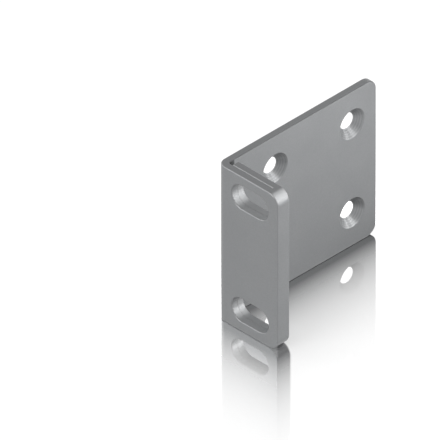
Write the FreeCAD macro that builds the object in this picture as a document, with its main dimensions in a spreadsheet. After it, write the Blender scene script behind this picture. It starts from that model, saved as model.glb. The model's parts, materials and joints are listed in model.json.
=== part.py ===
import FreeCAD, Part
import math
import os
import Sketcher

# Rack mount ear bracket, in millimetres.
# One steel sheet, bent once at a right angle and folded back on itself at its outer edge,
# so that the ear that meets the rack's front rail is two layers thick. The ear has two
# level slots for rack screws. The side plate lies against the side of the equipment and
# has four countersunk holes, so that the screw heads stay flush.
#
# The body is drawn with the corner of the bend at zero: X runs out along the ear, Y runs
# back along the side plate and Z is up. It is then placed with the middle of its footprint
# at the origin, standing on its lower edges.

document = FreeCAD.newDocument("ear_bracket")
sizes = document.addObject("Spreadsheet::Sheet", "sizes")

size_rows = [
    ("sheet_thickness", 1.95, "14 gauge steel sheet with its coat"),
    ("bend_inner_radius", 0.5, "inside of the right-angle bend"),
    ("corner_radius", 3.0, "rounded corners of the ear and the side plate"),
    ("edge_radius", 0.3, "light rounding of the sheet's edges"),
    ("hem_slit", 0.05, "what stays open between the two layers of the ear"),
    ("hem_end_gap", 1.2, "side plate to the free end of the folded layer"),
    ("slot_length", 12.0, "rack slot from end to end"),
    ("slot_width", 6.5, "rack slot for M6 screws"),
    ("slot_centre_span", 31.75, "first to third hole of a rack rail"),
    ("slot_near_margin", 1.65, "free end of the folded layer to the slots"),
    ("slot_far_margin", 3.0, "slots to the folded edge"),
    ("slot_end_margin", 2.625, "slots to the upper and lower edges"),
    ("slot_chamfer", 0.2, "broken edge of the slots in the ear's rear face"),
    ("plate_length", 50.0, "front face of the ear to the rear edge of the side plate"),
    ("hole_diameter", 4.2, "clearance for M4 screws"),
    ("countersink_diameter", 8.0, "at the face of the sheet"),
    ("countersink_angle", 90, "whole angle, in degrees"),
    ("hole_column_span", 25.0, "between the two columns of screw holes"),
    ("hole_row_span", 25.0, "between the two rows of screw holes"),
    ("hole_rear_margin", 7.85, "rear column of screw holes to the rear edge"),
]
for row, (name, value, note) in enumerate(size_rows, start=1):
    sizes.set(f"A{row}", name)
    sizes.set(f"B{row}", str(value))
    sizes.setAlias(f"B{row}", name)
    sizes.set(f"C{row}", note)
document.recompute()

# Sizes that follow from the ones above
HEM_END = "(sizes.sheet_thickness + sizes.hem_end_gap)"
HEM_BACK = "(2 * sizes.sheet_thickness + sizes.hem_slit)"
SLOT_RUN = "(sizes.slot_length - sizes.slot_width)"
SLOT_START = f"({HEM_END} + sizes.slot_near_margin + sizes.slot_width / 2)"
SLOT_LEVEL = "(sizes.slot_end_margin + sizes.slot_width / 2)"
EAR_WIDTH = f"({SLOT_START} + {SLOT_RUN} + sizes.slot_width / 2 + sizes.slot_far_margin)"
BRACKET_HEIGHT = f"(2 * {SLOT_LEVEL} + sizes.slot_centre_span)"
SLIT_INSET = "(sizes.corner_radius + 2 * sizes.edge_radius)"
OUTER_BEND = "(sizes.bend_inner_radius + sizes.sheet_thickness)"
HOLE_FRONT = "(sizes.plate_length - sizes.hole_rear_margin - sizes.hole_column_span)"
HOLE_LEVEL = f"(({BRACKET_HEIGHT} - sizes.hole_row_span) / 2)"

body = document.addObject("PartDesign::Body", "ear_bracket")
body.Label = "ear_bracket"
body.setExpression("Placement.Base.x", f"-{EAR_WIDTH} / 2")
body.setExpression("Placement.Base.y", "-sizes.plate_length / 2")


def amount(expression):
    return float(body.evalExpression(expression))


# Sketch geometry is tied at its start, its end or its centre. A sketch's own zero point
# and axes have negative numbers.
POINT_ROLES = ("whole", "start", "end", "centre")
START, END, CENTRE = map(POINT_ROLES.index, ("start", "end", "centre"))
ZERO_POINT = (-1, START)
LEVEL_AXIS, UPRIGHT_AXIS = range(-1, -3, -1)


def origin_item(role):
    return next(item for item in body.Origin.OriginFeatures if item.Role == role)


def new_sketch(name, plane_role):
    sketch = body.newObject("Sketcher::SketchObject", name)
    sketch.AttachmentSupport = [(origin_item(plane_role), "")]
    sketch.MapMode = "FlatFace"
    return sketch


def add_line(sketch, start, end):
    line = Part.LineSegment(FreeCAD.Vector(*start, 0), FreeCAD.Vector(*end, 0))
    return sketch.addGeometry(line, False)


def add_arc(sketch, centre, radius, start_degrees, end_degrees):
    circle = Part.Circle(FreeCAD.Vector(*centre, 0), FreeCAD.Vector(0, 0, 1), radius)
    angles = math.radians(start_degrees), math.radians(end_degrees)
    return sketch.addGeometry(Part.ArcOfCircle(circle, *angles), False)


def tie(sketch, kind, *geometry):
    sketch.addConstraint(Sketcher.Constraint(kind, *geometry))


def dimension(sketch, name, kind, geometry, expression):
    constraint = Sketcher.Constraint(kind, *geometry, amount(expression))
    index = sketch.addConstraint(constraint)
    sketch.renameConstraint(index, name)
    sketch.setExpression(f"Constraints.{name}", expression)


# The folded sheet seen from above: front layer, fold, rear layer of the ear, bend and side
# plate. The slit between the layers ends where the ear's rounded corners begin.
def draw_section(sketch):
    thickness = amount("sizes.sheet_thickness")
    inner_radius = amount("sizes.bend_inner_radius")
    slit = amount("sizes.hem_slit")
    length = amount("sizes.plate_length")
    bend = amount(OUTER_BEND)
    width = amount(EAR_WIDTH)
    hem_end = amount(HEM_END)
    hem_front = thickness + slit
    hem_back = amount(HEM_BACK)
    slit_end = width - amount(SLIT_INSET)

    front = add_line(sketch, (bend, 0), (width, 0))
    fold = add_line(sketch, (width, 0), (width, hem_back))
    rear = add_line(sketch, (width, hem_back), (hem_end, hem_back))
    free_end = add_line(sketch, (hem_end, hem_back), (hem_end, hem_front))
    slit_back = add_line(sketch, (hem_end, hem_front), (slit_end, hem_front))
    slit_arc = add_arc(sketch, (slit_end, thickness + slit / 2), slit / 2, -90, 90)
    slit_front = add_line(sketch, (slit_end, thickness), (bend, thickness))
    inner_bend = add_arc(sketch, (bend, bend), inner_radius, 180, 270)
    screw_face = add_line(sketch, (thickness, bend), (thickness, length))
    plate_end = add_line(sketch, (thickness, length), (0, length))
    equipment_face = add_line(sketch, (0, length), (0, bend))
    outer_bend = add_arc(sketch, (bend, bend), bend, 180, 270)

    for before, after in ((front, fold), (fold, rear), (rear, free_end), (free_end, slit_back),
                          (screw_face, plate_end), (plate_end, equipment_face)):
        tie(sketch, "Coincident", before, END, after, START)
    tie(sketch, "Tangent", slit_back, END, slit_arc, END)
    tie(sketch, "Tangent", slit_arc, START, slit_front, START)
    tie(sketch, "Tangent", slit_front, END, inner_bend, END)
    tie(sketch, "Tangent", inner_bend, START, screw_face, START)
    tie(sketch, "Tangent", equipment_face, END, outer_bend, START)
    tie(sketch, "Tangent", outer_bend, END, front, START)
    for line in (rear, slit_back, slit_front, plate_end):
        tie(sketch, "Horizontal", line)
    for line in (fold, free_end, screw_face):
        tie(sketch, "Vertical", line)
    for end in (START, END):
        tie(sketch, "PointOnObject", front, end, LEVEL_AXIS)
        tie(sketch, "PointOnObject", equipment_face, end, UPRIGHT_AXIS)

    def across(name, first, first_point, second, second_point, expression):
        geometry = (first, first_point, second, second_point)
        dimension(sketch, name, "DistanceX", geometry, expression)

    def along(name, first, first_point, second, second_point, expression):
        geometry = (first, first_point, second, second_point)
        dimension(sketch, name, "DistanceY", geometry, expression)

    across("ear_width", *ZERO_POINT, front, END, EAR_WIDTH)
    across("plate_layer", plate_end, END, plate_end, START, "sizes.sheet_thickness")
    across("free_end_gap", plate_end, START, free_end, START, "sizes.hem_end_gap")
    across("slit_inset", slit_arc, CENTRE, fold, START, SLIT_INSET)
    along("plate_length", *ZERO_POINT, equipment_face, START, "sizes.plate_length")
    along("front_layer", *ZERO_POINT, slit_front, START, "sizes.sheet_thickness")
    along("slit", slit_front, START, slit_back, END, "sizes.hem_slit")
    along("rear_layer", free_end, END, free_end, START, "sizes.sheet_thickness")
    dimension(sketch, "inner_bend", "Radius", (inner_bend,), "sizes.bend_inner_radius")
    dimension(sketch, "outer_bend", "Radius", (outer_bend,), OUTER_BEND)


section = new_sketch("section", "XY_Plane")
draw_section(section)
folded_sheet = body.newObject("PartDesign::Pad", "folded_sheet")
folded_sheet.Profile = section
folded_sheet.setExpression("Length", BRACKET_HEIGHT)
document.recompute()


# Roundings and broken edges. The edges are picked by where they lie on the feature before.
TOUCHING = 1e-6
SHARP_ANGLE = math.radians(10)


def work_edges(kind, name, feature, wanted, size_property, expression):
    edges = enumerate(feature.Shape.Edges, start=1)
    picked = [f"Edge{number}" for number, edge in edges if wanted(feature.Shape, edge)]
    worked = body.newObject(kind, name)
    worked.Base = (feature, picked)
    worked.setExpression(size_property, expression)
    document.recompute()
    return worked


# Level edges at the ear's fold and at the side plate's rear end
def is_sheet_corner(shape, edge):
    at_fold = edge.BoundBox.XMin > shape.BoundBox.XMax - TOUCHING
    at_rear_end = edge.BoundBox.YMin > shape.BoundBox.YMax - TOUCHING
    return edge.BoundBox.ZLength < TOUCHING and (at_fold or at_rear_end)


# Edges where two faces meet at an angle
def is_sharp(shape, edge):
    middle = edge.valueAt((edge.FirstParameter + edge.LastParameter) / 2)
    faces = shape.ancestorsOfType(edge, Part.Face)
    normals = [face.normalAt(*face.Surface.parameter(middle)) for face in faces]
    return len(normals) == 2 and normals[0].getAngle(normals[1]) > SHARP_ANGLE


rounded_corners = work_edges("PartDesign::Fillet", "rounded_corners", folded_sheet,
                             is_sheet_corner, "Radius", "sizes.corner_radius")
rounded_sheet = work_edges("PartDesign::Fillet", "rounded_sheet", rounded_corners,
                           is_sharp, "Radius", "sizes.edge_radius")


# Stops if a cut points away from the sheet and takes nothing from it
def check_cut(before, after):
    document.recompute()
    if after.Shape.isNull() or after.Shape.Volume >= before.Shape.Volume:
        raise RuntimeError(f"{after.Name} cuts nothing")


# A second copy of a cut along one axis, or a grid of two by two along two axes
def repeat(name, original, *directions):
    pattern = body.newObject("PartDesign::LinearPattern", name)
    pattern.Originals = [original]
    for suffix, (axis_role, expression) in zip(("", "2"), directions):
        setattr(pattern, f"Direction{suffix}", (origin_item(axis_role), [""]))
        setattr(pattern, f"Occurrences{suffix}", 2)
        pattern.setExpression(f"Length{suffix}", expression)
    body.Tip = pattern
    check_cut(original, pattern)
    return pattern


# Rack slot seen from the front, level along the ear
def draw_slot(sketch):
    radius = amount("sizes.slot_width / 2")
    left = amount(SLOT_START)
    right = left + amount(SLOT_RUN)
    level = amount(SLOT_LEVEL)

    near_end = add_arc(sketch, (left, level), radius, 90, 270)
    lower_side = add_line(sketch, (left, level - radius), (right, level - radius))
    far_end = add_arc(sketch, (right, level), radius, -90, 90)
    upper_side = add_line(sketch, (right, level + radius), (left, level + radius))
    for before, after in ((near_end, lower_side), (lower_side, far_end), (far_end, upper_side),
                          (upper_side, near_end)):
        tie(sketch, "Tangent", before, END, after, START)
    tie(sketch, "Horizontal", lower_side)

    near_centre = (near_end, CENTRE)
    dimension(sketch, "end_radius", "Radius", (near_end,), "sizes.slot_width / 2")
    dimension(sketch, "run", "DistanceX", (*near_centre, far_end, CENTRE), SLOT_RUN)
    dimension(sketch, "start", "DistanceX", (*ZERO_POINT, *near_centre), SLOT_START)
    dimension(sketch, "level", "DistanceY", (*ZERO_POINT, *near_centre), SLOT_LEVEL)


slot_outline = new_sketch("slot_outline", "XZ_Plane")
draw_slot(slot_outline)
lower_slot = body.newObject("PartDesign::Pocket", "lower_slot")
lower_slot.Profile = slot_outline
lower_slot.Type = "ThroughAll"
check_cut(rounded_sheet, lower_slot)
rack_slots = repeat("rack_slots", lower_slot, ("Z_Axis", "sizes.slot_centre_span"))


# Edges of the slots on one face of the ear, at the given depth
def is_slot_edge(shape, edge, depth):
    box = edge.BoundBox
    on_face = abs(box.YMin - depth) < TOUCHING and abs(box.YMax - depth) < TOUCHING
    margin = amount("sizes.edge_radius")
    height = amount(BRACKET_HEIGHT)
    inside = box.XMin > amount(HEM_END) + margin and box.XMax < amount(EAR_WIDTH) - margin
    between = box.ZMin > margin + TOUCHING and box.ZMax < height - margin - TOUCHING
    return on_face and inside and between and is_sharp(shape, edge)


def is_front_slot_edge(shape, edge):
    return is_slot_edge(shape, edge, 0)


def is_rear_slot_edge(shape, edge):
    return is_slot_edge(shape, edge, amount(HEM_BACK))


rounded_slots = work_edges("PartDesign::Fillet", "rounded_slots", rack_slots,
                           is_front_slot_edge, "Radius", "sizes.edge_radius")
broken_slots = work_edges("PartDesign::Chamfer", "broken_slots", rounded_slots,
                          is_rear_slot_edge, "Size", "sizes.slot_chamfer")


# Countersunk screw hole, sunk from the face that is turned away from the equipment
def draw_hole(sketch):
    centre = FreeCAD.Vector(amount(HOLE_FRONT), amount(HOLE_LEVEL), 0)
    circle = Part.Circle(centre, FreeCAD.Vector(0, 0, 1), amount("sizes.hole_diameter / 2"))
    hole = sketch.addGeometry(circle, False)
    dimension(sketch, "radius", "Radius", (hole,), "sizes.hole_diameter / 2")
    dimension(sketch, "front", "DistanceX", (*ZERO_POINT, hole, CENTRE), HOLE_FRONT)
    dimension(sketch, "level", "DistanceY", (*ZERO_POINT, hole, CENTRE), HOLE_LEVEL)


hole_outline = new_sketch("hole_outline", "YZ_Plane")
hole_outline.setExpression("AttachmentOffset.Base.z", "sizes.sheet_thickness")
draw_hole(hole_outline)
document.recompute()
screw_hole = body.newObject("PartDesign::Hole", "screw_hole")
screw_hole.Profile = hole_outline
document.recompute()
screw_hole.DepthType = "ThroughAll"
screw_hole.setExpression("Diameter", "sizes.hole_diameter")
screw_hole.HoleCutType = "Countersink"
screw_hole.HoleCutCustomValues = True
screw_hole.setExpression("HoleCutDiameter", "sizes.countersink_diameter")
screw_hole.setExpression("HoleCutCountersinkAngle", "sizes.countersink_angle")
check_cut(broken_slots, screw_hole)
screw_holes = repeat("screw_holes", screw_hole, ("Y_Axis", "sizes.hole_column_span"),
                     ("Z_Axis", "sizes.hole_row_span"))


# Every feature has to have come out whole before the bracket is written
for item in document.Objects:
    if "Invalid" in item.State or "Error" in item.State:
        raise RuntimeError(f"{item.Name} did not come out")
if body.Shape.isNull() or not body.Shape.isValid() or len(body.Shape.Solids) != 1:
    raise RuntimeError(f"{body.Label} is not one sound solid")

os.makedirs("parts", exist_ok=True)
body.Shape.exportStep(f"parts/{body.Label}.step")
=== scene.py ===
import json
import math

import bpy
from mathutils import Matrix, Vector


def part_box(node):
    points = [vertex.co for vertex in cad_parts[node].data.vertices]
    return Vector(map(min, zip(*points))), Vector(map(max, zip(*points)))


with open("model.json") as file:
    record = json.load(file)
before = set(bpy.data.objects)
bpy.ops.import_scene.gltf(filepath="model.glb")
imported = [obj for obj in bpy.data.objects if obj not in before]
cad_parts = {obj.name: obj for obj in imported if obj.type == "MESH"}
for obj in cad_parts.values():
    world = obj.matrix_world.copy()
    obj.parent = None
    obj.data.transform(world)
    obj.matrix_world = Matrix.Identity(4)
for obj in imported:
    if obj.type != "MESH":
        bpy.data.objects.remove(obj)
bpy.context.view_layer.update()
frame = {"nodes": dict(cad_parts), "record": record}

# Ear bracket
# One piece of sheet steel, punched, countersunk and folded, with the ear's sheet turned back on
# itself. Its satin grey coat is lighter in the countersinks, with painted highlights on its front
# edges, punched walls, ear corners and countersink bottoms, and painted shade on its upward faces,
# the side plate's upper edge and the gap behind the turned back end.

MM = 0.001
SHEET_THICKNESS = 1.95 * MM
HEM_SLIT = 0.05 * MM
HEM_GAP = 1.2 * MM
BEND_REACH = 3.4 * MM
COUNTERSINK_RADIUS = 4.0 * MM
SLOT_LENGTH = 12.0 * MM
SLOT_WIDTH = 6.5 * MM
SLOT_SPACING = 31.75 * MM
METALLIC = 0.7
LIGHT_COAT = (0.266, 0.272, 0.278, 1)
DARK_COAT = (0.250, 0.256, 0.262, 1)
GRAIN_COAT = (0.205, 0.210, 0.216, 1)
WEAR_AND_HIGHLIGHT_COAT = (0.42, 0.425, 0.43, 1)
PLATE_EDGE_SHADE = (0.12, 0.122, 0.125, 1)
TOP_SHADE_COAT = (0.2, 0.204, 0.208, 1)
GAP_SHADE_COAT = (0.08, 0.082, 0.084, 1)

bracket = frame["nodes"]["ear_bracket"]
bracket_low, bracket_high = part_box("ear_bracket")
plate_face = bracket_low.x + SHEET_THICKNESS
front_layer_back = bracket_low.y + SHEET_THICKNESS
ear_back = bracket_low.y + 2 * SHEET_THICKNESS + HEM_SLIT
mounts = {mount["name"]: mount for mount in frame["record"]["mounts"]}


def plug(tree, socket, value):
    """Gives a socket a value, or links another socket to it."""
    if isinstance(value, bpy.types.NodeSocket):
        tree.links.new(value, socket)
    else:
        socket.default_value = value


def add_node(tree, kind, settings=None, **inputs):
    """A new node. An input is named with _ for a space, and takes a value or another socket."""
    node = tree.nodes.new(kind)
    for name, value in (settings or {}).items():
        setattr(node, name, value)
    for name, value in inputs.items():
        plug(tree, node.inputs[name.replace("_", " ")], value)
    return node


def calculate(tree, operation, *values):
    """A maths node on numbers."""
    node = add_node(tree, "ShaderNodeMath", {"operation": operation})
    for socket, value in zip(node.inputs, values):
        plug(tree, socket, value)
    return node.outputs["Value"]


def product(tree, first, *others):
    """All the numbers multiplied."""
    for other in others:
        first = calculate(tree, "MULTIPLY", first, other)
    return first


def largest(tree, first, *others):
    """The largest of the numbers."""
    for other in others:
        first = calculate(tree, "MAXIMUM", first, other)
    return first


def combine(tree, operation, *values):
    """A maths node on vectors."""
    node = add_node(tree, "ShaderNodeVectorMath", {"operation": operation})
    for socket, value in zip(node.inputs, values):
        plug(tree, socket, value)
    return node.outputs["Value" if operation == "LENGTH" else "Vector"]


def axes(tree, vector):
    """The three numbers of a vector, by the names X, Y and Z."""
    return add_node(tree, "ShaderNodeSeparateXYZ", Vector=vector).outputs


def spread(tree, value, low, high, to_low=0.0, to_high=1.0, smooth=True):
    """Maps value from low..high to to_low..to_high, and keeps it there outside."""
    steps = {"interpolation_type": "SMOOTHSTEP" if smooth else "LINEAR"}
    node = add_node(tree, "ShaderNodeMapRange", steps,
                    From_Min=low, From_Max=high, To_Min=to_low, To_Max=to_high)
    plug(tree, node.inputs["Value"], value)
    return node.outputs["Result"]


def noise(tree, place, size, detail=2.0):
    """A noise whose patches are about as large as size, in metres."""
    node = add_node(tree, "ShaderNodeTexNoise", Vector=place, Scale=1 / size, Detail=detail)
    return node.outputs["Fac"]


def mix_colours(tree, share, first, second):
    """first where share is 0, and second where it is 1."""
    node = add_node(tree, "ShaderNodeMix", {"data_type": "RGBA"})
    plug(tree, node.inputs[0], share)
    plug(tree, node.inputs[6], first)
    plug(tree, node.inputs[7], second)
    return node.outputs[2]


coat = bpy.data.materials.new("satin_grey_coat")
coat.use_nodes = True
tree = coat.node_tree
shader = tree.nodes["Principled BSDF"]
shader.inputs["Metallic"].default_value = METALLIC
place = add_node(tree, "ShaderNodeTexCoord").outputs["Object"]
spot = axes(tree, place)
facing = axes(tree, add_node(tree, "ShaderNodeNewGeometry").outputs["Normal"])

# Countersinks: rings around the nearest hole's axis, which the holes' symmetry finds
RIM_BLUR = 0.05 * MM
RING_PITCH = 0.42 * MM
RING_WOBBLE = 1.5
WOBBLE_SIZE = 1.2 * MM
holes = mounts["device_holes"]
half_spacing = holes["dims"]["spacing_x_mm"] / 2 * MM
from_middle = combine(tree, "ABSOLUTE", combine(tree, "SUBTRACT", place, Vector(holes["pos_m"])))
from_hole = combine(tree, "SUBTRACT", from_middle, (0, half_spacing, half_spacing))
from_axis = combine(tree, "LENGTH", combine(tree, "MULTIPLY", from_hole, (0, 1, 1)))
within = spread(tree, from_axis, COUNTERSINK_RADIUS + RIM_BLUR, COUNTERSINK_RADIUS - RIM_BLUR)
depth = calculate(tree, "SUBTRACT", spot["X"], bracket_low.x)
off_outer_face = spread(tree, depth, 0.02 * MM, 0.05 * MM)
sunk = product(tree, within, off_outer_face)
wobble = product(tree, noise(tree, place, WOBBLE_SIZE), RING_WOBBLE)
turns = calculate(tree, "MULTIPLY_ADD", from_axis, 2 * math.pi / RING_PITCH, wobble)
rings = product(tree, calculate(tree, "SINE", turns), sunk)

# Which way a face is turned, as pairs of limits: not at all up to the first, fully from the second
RIGHT_AND_UP = (0.3, 0.8)
FORWARDS_AND_UP = (0.6, 0.95)
STRAIGHT_UP = (0.9, 0.98)
NOT_UP = (0.6, 0.3)
NOT_FORWARDS = (0.7, 0.3)
SINK_BOTTOM = (0.4, 0.65)
right_and_up = product(tree, facing["X"], facing["Z"], 2.0)
forwards_and_up = product(tree, facing["Y"], facing["Z"], -2.0)
bend_end = bracket_low.x + BEND_REACH
on_plate = spread(tree, spot["X"], bend_end + 0.5 * MM, bend_end)

# Punched walls, in the slots and around the ear's corners: streaks through the thickness
SLOT_RIM = 0.1 * MM
STREAK_SIZE = 0.3 * MM
STREAK_SQUEEZE = 0.06
rim = SLOT_WIDTH / 2 + SLOT_RIM
slots_middle = Vector(mounts["rack_slots"]["pos_m"])
from_slots = combine(tree, "ABSOLUTE", combine(tree, "SUBTRACT", place, slots_middle))
from_slot = combine(tree, "SUBTRACT", from_slots, (0, 0, SLOT_SPACING / 2))
from_slot = combine(tree, "ABSOLUTE", from_slot)
from_bar = combine(tree, "SUBTRACT", from_slot, ((SLOT_LENGTH - SLOT_WIDTH) / 2, 0, 0))
from_bar = combine(tree, "MULTIPLY", combine(tree, "MAXIMUM", from_bar, (0, 0, 0)), (1, 0, 1))
from_bar = combine(tree, "LENGTH", from_bar)
sideways = spread(tree, calculate(tree, "ABSOLUTE", facing["Y"]), *NOT_FORWARDS)
in_slot = product(tree, spread(tree, from_bar, rim + RIM_BLUR, rim - RIM_BLUR), sideways)
off_plate = calculate(tree, "SUBTRACT", 1.0, on_plate)
ear_corner = spread(tree, calculate(tree, "ABSOLUTE", right_and_up), *RIGHT_AND_UP)
punched = largest(tree, in_slot, product(tree, ear_corner, off_plate))
streaks = combine(tree, "MULTIPLY", place, (1, STREAK_SQUEEZE, 1))
streaks = calculate(tree, "SUBTRACT", noise(tree, streaks, STREAK_SIZE, 3.0), 0.5)
streaks = product(tree, streaks, punched)

# Rounded edges: the front ones, which get a painted highlight, and the side plate's upper one,
# which gets painted shade
front_edge = spread(tree, forwards_and_up, *FORWARDS_AND_UP)
not_sunk = calculate(tree, "SUBTRACT", 1.0, sunk)
plate_edge = product(tree, spread(tree, right_and_up, *RIGHT_AND_UP), on_plate, not_sunk)

# Painted shade on faces turned straight up: the sheet's cut edges along the top, a little darker
# than its faces, and less so in the slots
TOP_SHADE_SHARE = 0.9
LESS_IN_SLOTS = 0.4
top_shade_share = calculate(tree, "MULTIPLY_ADD", in_slot, -LESS_IN_SLOTS, TOP_SHADE_SHARE)
painted_top_shade = product(tree, spread(tree, facing["Z"], *STRAIGHT_UP), top_shade_share)

# The narrow gap between the turned back end and the side plate, darkened with painted shade
GAP_BLUR = 0.1 * MM
hem_end = plate_face + HEM_GAP
shaded_gap = product(tree,
                 spread(tree, spot["X"], plate_face - GAP_BLUR, plate_face),
                 spread(tree, spot["X"], hem_end + GAP_BLUR, hem_end),
                 spread(tree, spot["Y"], ear_back, ear_back - 3 * GAP_BLUR),
                 spread(tree, spot["Y"], front_layer_back - GAP_BLUR, front_layer_back),
                 spread(tree, facing["Z"], *NOT_UP))

# Colour
MOTTLE_SIZE = 9 * MM
GRAIN_SIZE = 0.28 * MM
GRAIN_SHARE = 0.25
# Painted highlight on the front edges
FRONT_EDGE_HIGHLIGHT = 0.6
# Painted highlight on punched walls and ear corners
PUNCHED_HIGHLIGHT = 0.4
RING_WEAR = 0.16
SINK_WEAR = 0.12
# Painted highlight on the countersink bottoms
SINK_BOTTOM_HIGHLIGHT = 0.32
PLATE_EDGE_SHADE_SHARE = 0.7
mottle = spread(tree, noise(tree, place, MOTTLE_SIZE, 3.0), 0.25, 0.75)
speckle = noise(tree, place, GRAIN_SIZE)
grain = product(tree, spread(tree, speckle, 0.35, 0.65), GRAIN_SHARE)
# The countersinks are lighter all over, and more towards their bottoms as a painted highlight
sink_wear_and_highlight = spread(tree, facing["Z"], *SINK_BOTTOM, SINK_WEAR, SINK_BOTTOM_HIGHLIGHT)
sink_rings_and_highlight = calculate(tree, "MULTIPLY_ADD", rings, RING_WEAR, product(tree, sunk, sink_wear_and_highlight))
# The countersinks' turned rings and lighter faces, with painted highlights on front edges, punched
# walls and ear corners
wear_and_highlight = largest(tree, product(tree, front_edge, FRONT_EDGE_HIGHLIGHT),
               product(tree, punched, PUNCHED_HIGHLIGHT), sink_rings_and_highlight)
colour = mix_colours(tree, mottle, DARK_COAT, LIGHT_COAT)
colour = mix_colours(tree, grain, colour, GRAIN_COAT)
# Painted shade on faces turned straight up
colour = mix_colours(tree, painted_top_shade, colour, TOP_SHADE_COAT)
colour = mix_colours(tree, wear_and_highlight, colour, WEAR_AND_HIGHLIGHT_COAT)
# Painted shade on the side plate's upper rounded edge
colour = mix_colours(tree, product(tree, plate_edge, PLATE_EDGE_SHADE_SHARE), colour, PLATE_EDGE_SHADE)
# Painted shade in the gap behind the turned back end
colour = mix_colours(tree, shaded_gap, colour, GAP_SHADE_COAT)

# Roughness and relief
ROUGHNESS = 0.43
MOTTLE_ROUGHNESS = 0.04
SINK_ROUGHNESS = -0.1
EDGE_ROUGHNESS = 0.3
GRAIN_RELIEF = 0.35
RING_RELIEF = 0.85
STREAK_RELIEF = 2.0
RELIEF_STRENGTH = 0.5
RELIEF_DEPTH = 0.01 * MM
roughness = calculate(tree, "MULTIPLY_ADD", mottle, MOTTLE_ROUGHNESS, ROUGHNESS)
roughness = calculate(tree, "MULTIPLY_ADD", sunk, SINK_ROUGHNESS, roughness)
roughness = calculate(tree, "MULTIPLY_ADD", plate_edge, EDGE_ROUGHNESS, roughness)
relief = calculate(tree, "MULTIPLY_ADD", speckle, GRAIN_RELIEF, product(tree, rings, RING_RELIEF))
relief = calculate(tree, "MULTIPLY_ADD", streaks, STREAK_RELIEF, relief)
bump = add_node(tree, "ShaderNodeBump",
                Strength=RELIEF_STRENGTH, Distance=RELIEF_DEPTH, Height=relief)
plug(tree, shader.inputs["Base Color"], colour)
plug(tree, shader.inputs["Roughness"], roughness)
plug(tree, shader.inputs["Normal"], bump.outputs["Normal"])
bracket.data.materials.clear()
bracket.data.materials.append(coat)

# Studio floor
# A sheet of white gloss acrylic. It mirrors what stands on it, strongly where it is touched and
# less with the distance, and looks plain white elsewhere.

FLOOR_SIZE = 3.0
FLOOR_WHITE = (0.27, 0.27, 0.27, 1)
GLOW = 0.68
MIRROR_START = 1.15
MIRROR_FADE = 11 * MM
EAR_FADE = 25.0
EAR_CORNER_RADIUS = 3.0 * MM
SHADE = 0.68
SHADE_FADE = 80 * MM

bpy.ops.mesh.primitive_plane_add(size=FLOOR_SIZE, location=(0, 0, 0))
floor = bpy.context.object
floor.name = "floor"
acrylic = bpy.data.materials.new("white_gloss_acrylic")
acrylic.use_nodes = True
tree = acrylic.node_tree
tree.nodes.clear()
spot = axes(tree, add_node(tree, "ShaderNodeTexCoord").outputs["Object"])
is_glossy = add_node(tree, "ShaderNodeLightPath").outputs["Is Glossy Ray"]


def gap_to_block(tree, spot, low, high):
    """Distance on the floor from an upright block with its sides along X and Y."""
    return largest(tree,
                   calculate(tree, "SUBTRACT", spot["X"], high.x),
                   calculate(tree, "SUBTRACT", low.x, spot["X"]),
                   calculate(tree, "SUBTRACT", spot["Y"], high.y),
                   calculate(tree, "SUBTRACT", low.y, spot["Y"]),
                   0.0)


def fade(tree, distance, length):
    """1 at no distance, and about a third at every further length."""
    return calculate(tree, "EXPONENT", calculate(tree, "DIVIDE", distance, -length))


def seen_directly(tree):
    """1 for the camera's rays and for reflected and refracted ones, 0 for the others."""
    path = add_node(tree, "ShaderNodeLightPath").outputs
    return largest(tree, path["Is Glossy Ray"], path["Is Transmission Ray"], path["Is Camera Ray"])


# Mirroring, by the distance from the side plate and from the folded ear. It ends soon past the
# ear's rear corner, where the plate is far off.
plate_end = Vector((plate_face, bracket_high.y, 0))
ear_end = Vector((bracket_high.x, ear_back, 0))
gap_to_plate = gap_to_block(tree, spot, bracket_low, plate_end)
gap_to_ear = gap_to_block(tree, spot, bracket_low, ear_end)
diagonal = calculate(tree, "ADD", spot["X"], spot["Y"])
to_arc = spread(tree, spot["Y"], ear_back, ear_back - EAR_CORNER_RADIUS,
                EAR_CORNER_RADIUS, 0.0, smooth=False)
arc = calculate(tree, "SUBTRACT", EAR_CORNER_RADIUS ** 2, product(tree, to_arc, to_arc))
cut_corner = calculate(tree, "SUBTRACT", EAR_CORNER_RADIUS, calculate(tree, "SQRT", arc))
past_corner = calculate(tree, "SUBTRACT", diagonal, ear_end.x + ear_end.y)
past_corner = calculate(tree, "ADD", past_corner, cut_corner)
past_ear = calculate(tree, "SUBTRACT", spot["Y"], ear_back)
past_ear = largest(tree, past_ear, past_corner, 0.0)
gap_to_ear = calculate(tree, "MULTIPLY_ADD", past_ear, EAR_FADE, gap_to_ear)
gap = calculate(tree, "MINIMUM", gap_to_plate, gap_to_ear)
mirror_share = product(tree, fade(tree, gap, MIRROR_FADE), MIRROR_START)
mirror_share = calculate(tree, "MINIMUM", mirror_share, 1.0)

# Shade on the bracket's right side, from its front corner to the side plate's end, lighter at the
# ear's foot and in the coat's own reflections
FOOT_SHADE = 0.6
FOOT_REACH = 2 * MM
LESS_IN_COAT = 0.2
FRONT_BLUR = 0.5 * MM
SIDE_BLUR = 1 * MM
from_corner = calculate(tree, "SUBTRACT", diagonal, bracket_high.x + bracket_low.y)
right_side = largest(tree, spread(tree, from_corner, -FRONT_BLUR, FRONT_BLUR),
                     spread(tree, spot["Y"], ear_back - SIDE_BLUR, ear_back))
right_side = product(tree, right_side,
                     spread(tree, spot["X"], bracket_low.x - SIDE_BLUR, bracket_low.x))
shade = product(tree, fade(tree, gap, SHADE_FADE), SHADE, right_side,
                spread(tree, gap_to_ear, 0.0, FOOT_REACH, FOOT_SHADE, 1.0),
                calculate(tree, "MULTIPLY_ADD", is_glossy, -LESS_IN_COAT, 1.0))
mirror_colour = mix_colours(tree, shade, (1, 1, 1, 1), (0, 0, 0, 1))

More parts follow.
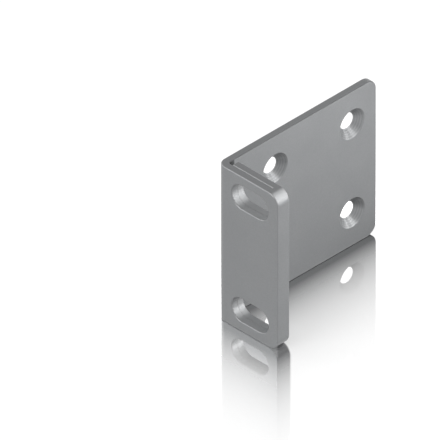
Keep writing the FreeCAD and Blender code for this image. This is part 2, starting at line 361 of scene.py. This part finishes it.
# Seen in the bracket's own coat, the floor before and beside the ear and under the side plate's
# lower edge is plain
PLAIN_PAST_EAR = 2 * MM
LESS_PLAIN_ON_RIGHT = 0.6
PLAIN_BY_PLATE = 0.1 * MM
MIRRORED_BY_PLATE = 0.35 * MM
by_ear = product(tree, spread(tree, spot["Y"], ear_back + PLAIN_PAST_EAR, ear_back),
                 calculate(tree, "MULTIPLY_ADD", right_side, -LESS_PLAIN_ON_RIGHT, 1.0))
by_plate = spread(tree, gap_to_plate, MIRRORED_BY_PLATE, PLAIN_BY_PLATE)
plain = product(tree, is_glossy, largest(tree, by_ear, by_plate))
mirror_share = product(tree, mirror_share, calculate(tree, "SUBTRACT", 1.0, plain))

mirror = add_node(tree, "ShaderNodeBsdfGlossy", Color=mirror_colour, Roughness=0.0)
white = add_node(tree, "ShaderNodeBsdfDiffuse", Color=FLOOR_WHITE)
glow_seen = product(tree, seen_directly(tree), GLOW)
glow = add_node(tree, "ShaderNodeEmission", Strength=glow_seen)
pale = add_node(tree, "ShaderNodeAddShader")
plug(tree, pale.inputs[0], white.outputs["BSDF"])
plug(tree, pale.inputs[1], glow.outputs["Emission"])
surface = add_node(tree, "ShaderNodeMixShader", Fac=mirror_share)
plug(tree, surface.inputs[1], pale.outputs["Shader"])
plug(tree, surface.inputs[2], mirror.outputs["BSDF"])
add_node(tree, "ShaderNodeOutputMaterial", Surface=surface.outputs["Shader"])
floor.data.materials.append(acrylic)

# Studio light
# A white tent around the bracket, darker overhead, and soft panels on stands: three large ones in
# front, to the left and behind, and six small ones close by on the right and behind.

TENT_WHITE = (1, 1, 1, 1)
DARKER_OVERHEAD = 0.7
LIGHT_LOW = 0.1
LIGHT_OVERHEAD = 1.4
FIRST_REFLECTIONS = 2.5
FAR = 0.6
LARGE = 0.25
NEAR = 0.13
SMALL = 0.06
FOOT = (0, 0, 0)
MIDDLE = (0, 0, 20 * MM)
PLATE = (-8 * MM, 20 * MM, 30 * MM)
PLATE_TOP = (-8 * MM, 20 * MM, 40 * MM)
EAR_TOP_CORNER = (9 * MM, -23 * MM, 42.5 * MM)

# The tent shows white to the camera and in the floor's mirror, however shaded that is, and the
# coat sees it darken with the height
world = bpy.data.worlds.new("studio")
bpy.context.scene.world = world
world.use_nodes = True
tree = world.node_tree
background = tree.nodes["Background"]
background.inputs["Color"].default_value = TENT_WHITE
height = axes(tree, add_node(tree, "ShaderNodeTexCoord").outputs["Generated"])["Z"]
path = add_node(tree, "ShaderNodeLightPath").outputs
overhead = product(tree, spread(tree, height, 0.0, 1.0, smooth=False), path["Is Glossy Ray"])
seen = calculate(tree, "MULTIPLY_ADD", overhead, -DARKER_OVERHEAD, 1.0)
in_mirror = product(tree, path["Is Singular Ray"], path["Is Glossy Ray"],
                    calculate(tree, "LESS_THAN", path["Ray Depth"], FIRST_REFLECTIONS))
seen = largest(tree, seen, product(tree, in_mirror, 1 / (1 - SHADE)))
lighting = spread(tree, height, 0.0, 1.0, LIGHT_LOW, LIGHT_OVERHEAD, smooth=False)
strength = add_node(tree, "ShaderNodeMix", {"data_type": "FLOAT"})
plug(tree, strength.inputs[0], seen_directly(tree))
plug(tree, strength.inputs[2], lighting)
plug(tree, strength.inputs[3], seen)
plug(tree, background.inputs["Strength"], strength.outputs[0])


def outward_direction(azimuth, elevation):
    """Towards a place around the bracket. Azimuth 0 is in front, and 90 on the right."""
    turn = math.radians(azimuth)
    rise = math.radians(elevation)
    level = math.cos(rise)
    return Vector((math.sin(turn) * level, -math.cos(turn) * level, math.sin(rise)))


def add_panel(name, azimuth, elevation, distance, size, brightness, aim):
    """A square soft light that faces the point aim. A brightness of 1 looks white."""
    data = bpy.data.lights.new(name, "AREA")
    data.size = size
    data.energy = brightness * math.pi * size * size
    panel = bpy.data.objects.new(name, data)
    bpy.context.scene.collection.objects.link(panel)
    outward = outward_direction(azimuth, elevation)
    panel.location = Vector(aim) + outward * distance
    panel.rotation_mode = "QUATERNION"
    panel.rotation_quaternion = outward.to_track_quat("Z", "Y")
    panel.visible_camera = False


add_panel("front_panel", -10, 35, FAR, LARGE, 6.2, FOOT)
add_panel("left_panel", -75, 35, FAR, LARGE, 2.8, FOOT)
add_panel("rear_panel", 150, 12, FAR, LARGE, 2.75, FOOT)
add_panel("close_right_panel", 125, 20, NEAR, SMALL, 3.7, MIDDLE)
add_panel("close_upper_panel", 125, 50, NEAR, SMALL, 1.75, MIDDLE)
add_panel("close_rear_panel", 180, 45, NEAR, SMALL, 0.95, MIDDLE)
add_panel("plate_panel", 112, -5, 0.106, 0.04, 3.15, PLATE)
add_panel("plate_top_panel", 90, 65, 0.066, 0.04, 1.05, PLATE_TOP)
add_panel("corner_panel", 135, 35, 0.04, 0.015, 1.4, EAR_TOP_CORNER)

# Camera
# Level with the photograph's: from the front right, 45 degrees around and 35 up, without
# perspective. The foot of the bend is put at its place in the photograph.

PHOTO_WIDTH = 440
PIXELS_PER_METRE = 4348
BEND_FOOT_PIXEL = (216.1, 316.5)
CAMERA_DISTANCE = 0.5
camera_data = bpy.data.cameras.new("camera")
camera = bpy.data.objects.new("camera", camera_data)
bpy.context.scene.collection.objects.link(camera)
bpy.context.scene.camera = camera
camera_data.type = "ORTHO"
camera_data.ortho_scale = PHOTO_WIDTH / PIXELS_PER_METRE
camera_data.clip_start = 0.01
camera_data.clip_end = 10
back = Vector((1, -1, 1)).normalized()
camera.rotation_mode = "QUATERNION"
camera.rotation_quaternion = back.to_track_quat("Z", "Y")
right = camera.rotation_quaternion @ Vector((1, 0, 0))
up = camera.rotation_quaternion @ Vector((0, 1, 0))
bend_foot = Vector((bracket_low.x, bracket_low.y, 0))
photo_middle = (PHOTO_WIDTH - 1) / 2
across = (photo_middle - BEND_FOOT_PIXEL[0]) / PIXELS_PER_METRE
above = (BEND_FOOT_PIXEL[1] - photo_middle) / PIXELS_PER_METRE
camera.location = bend_foot + right * across + up * above + back * CAMERA_DISTANCE

bpy.context.scene.view_settings.view_transform = "Standard"
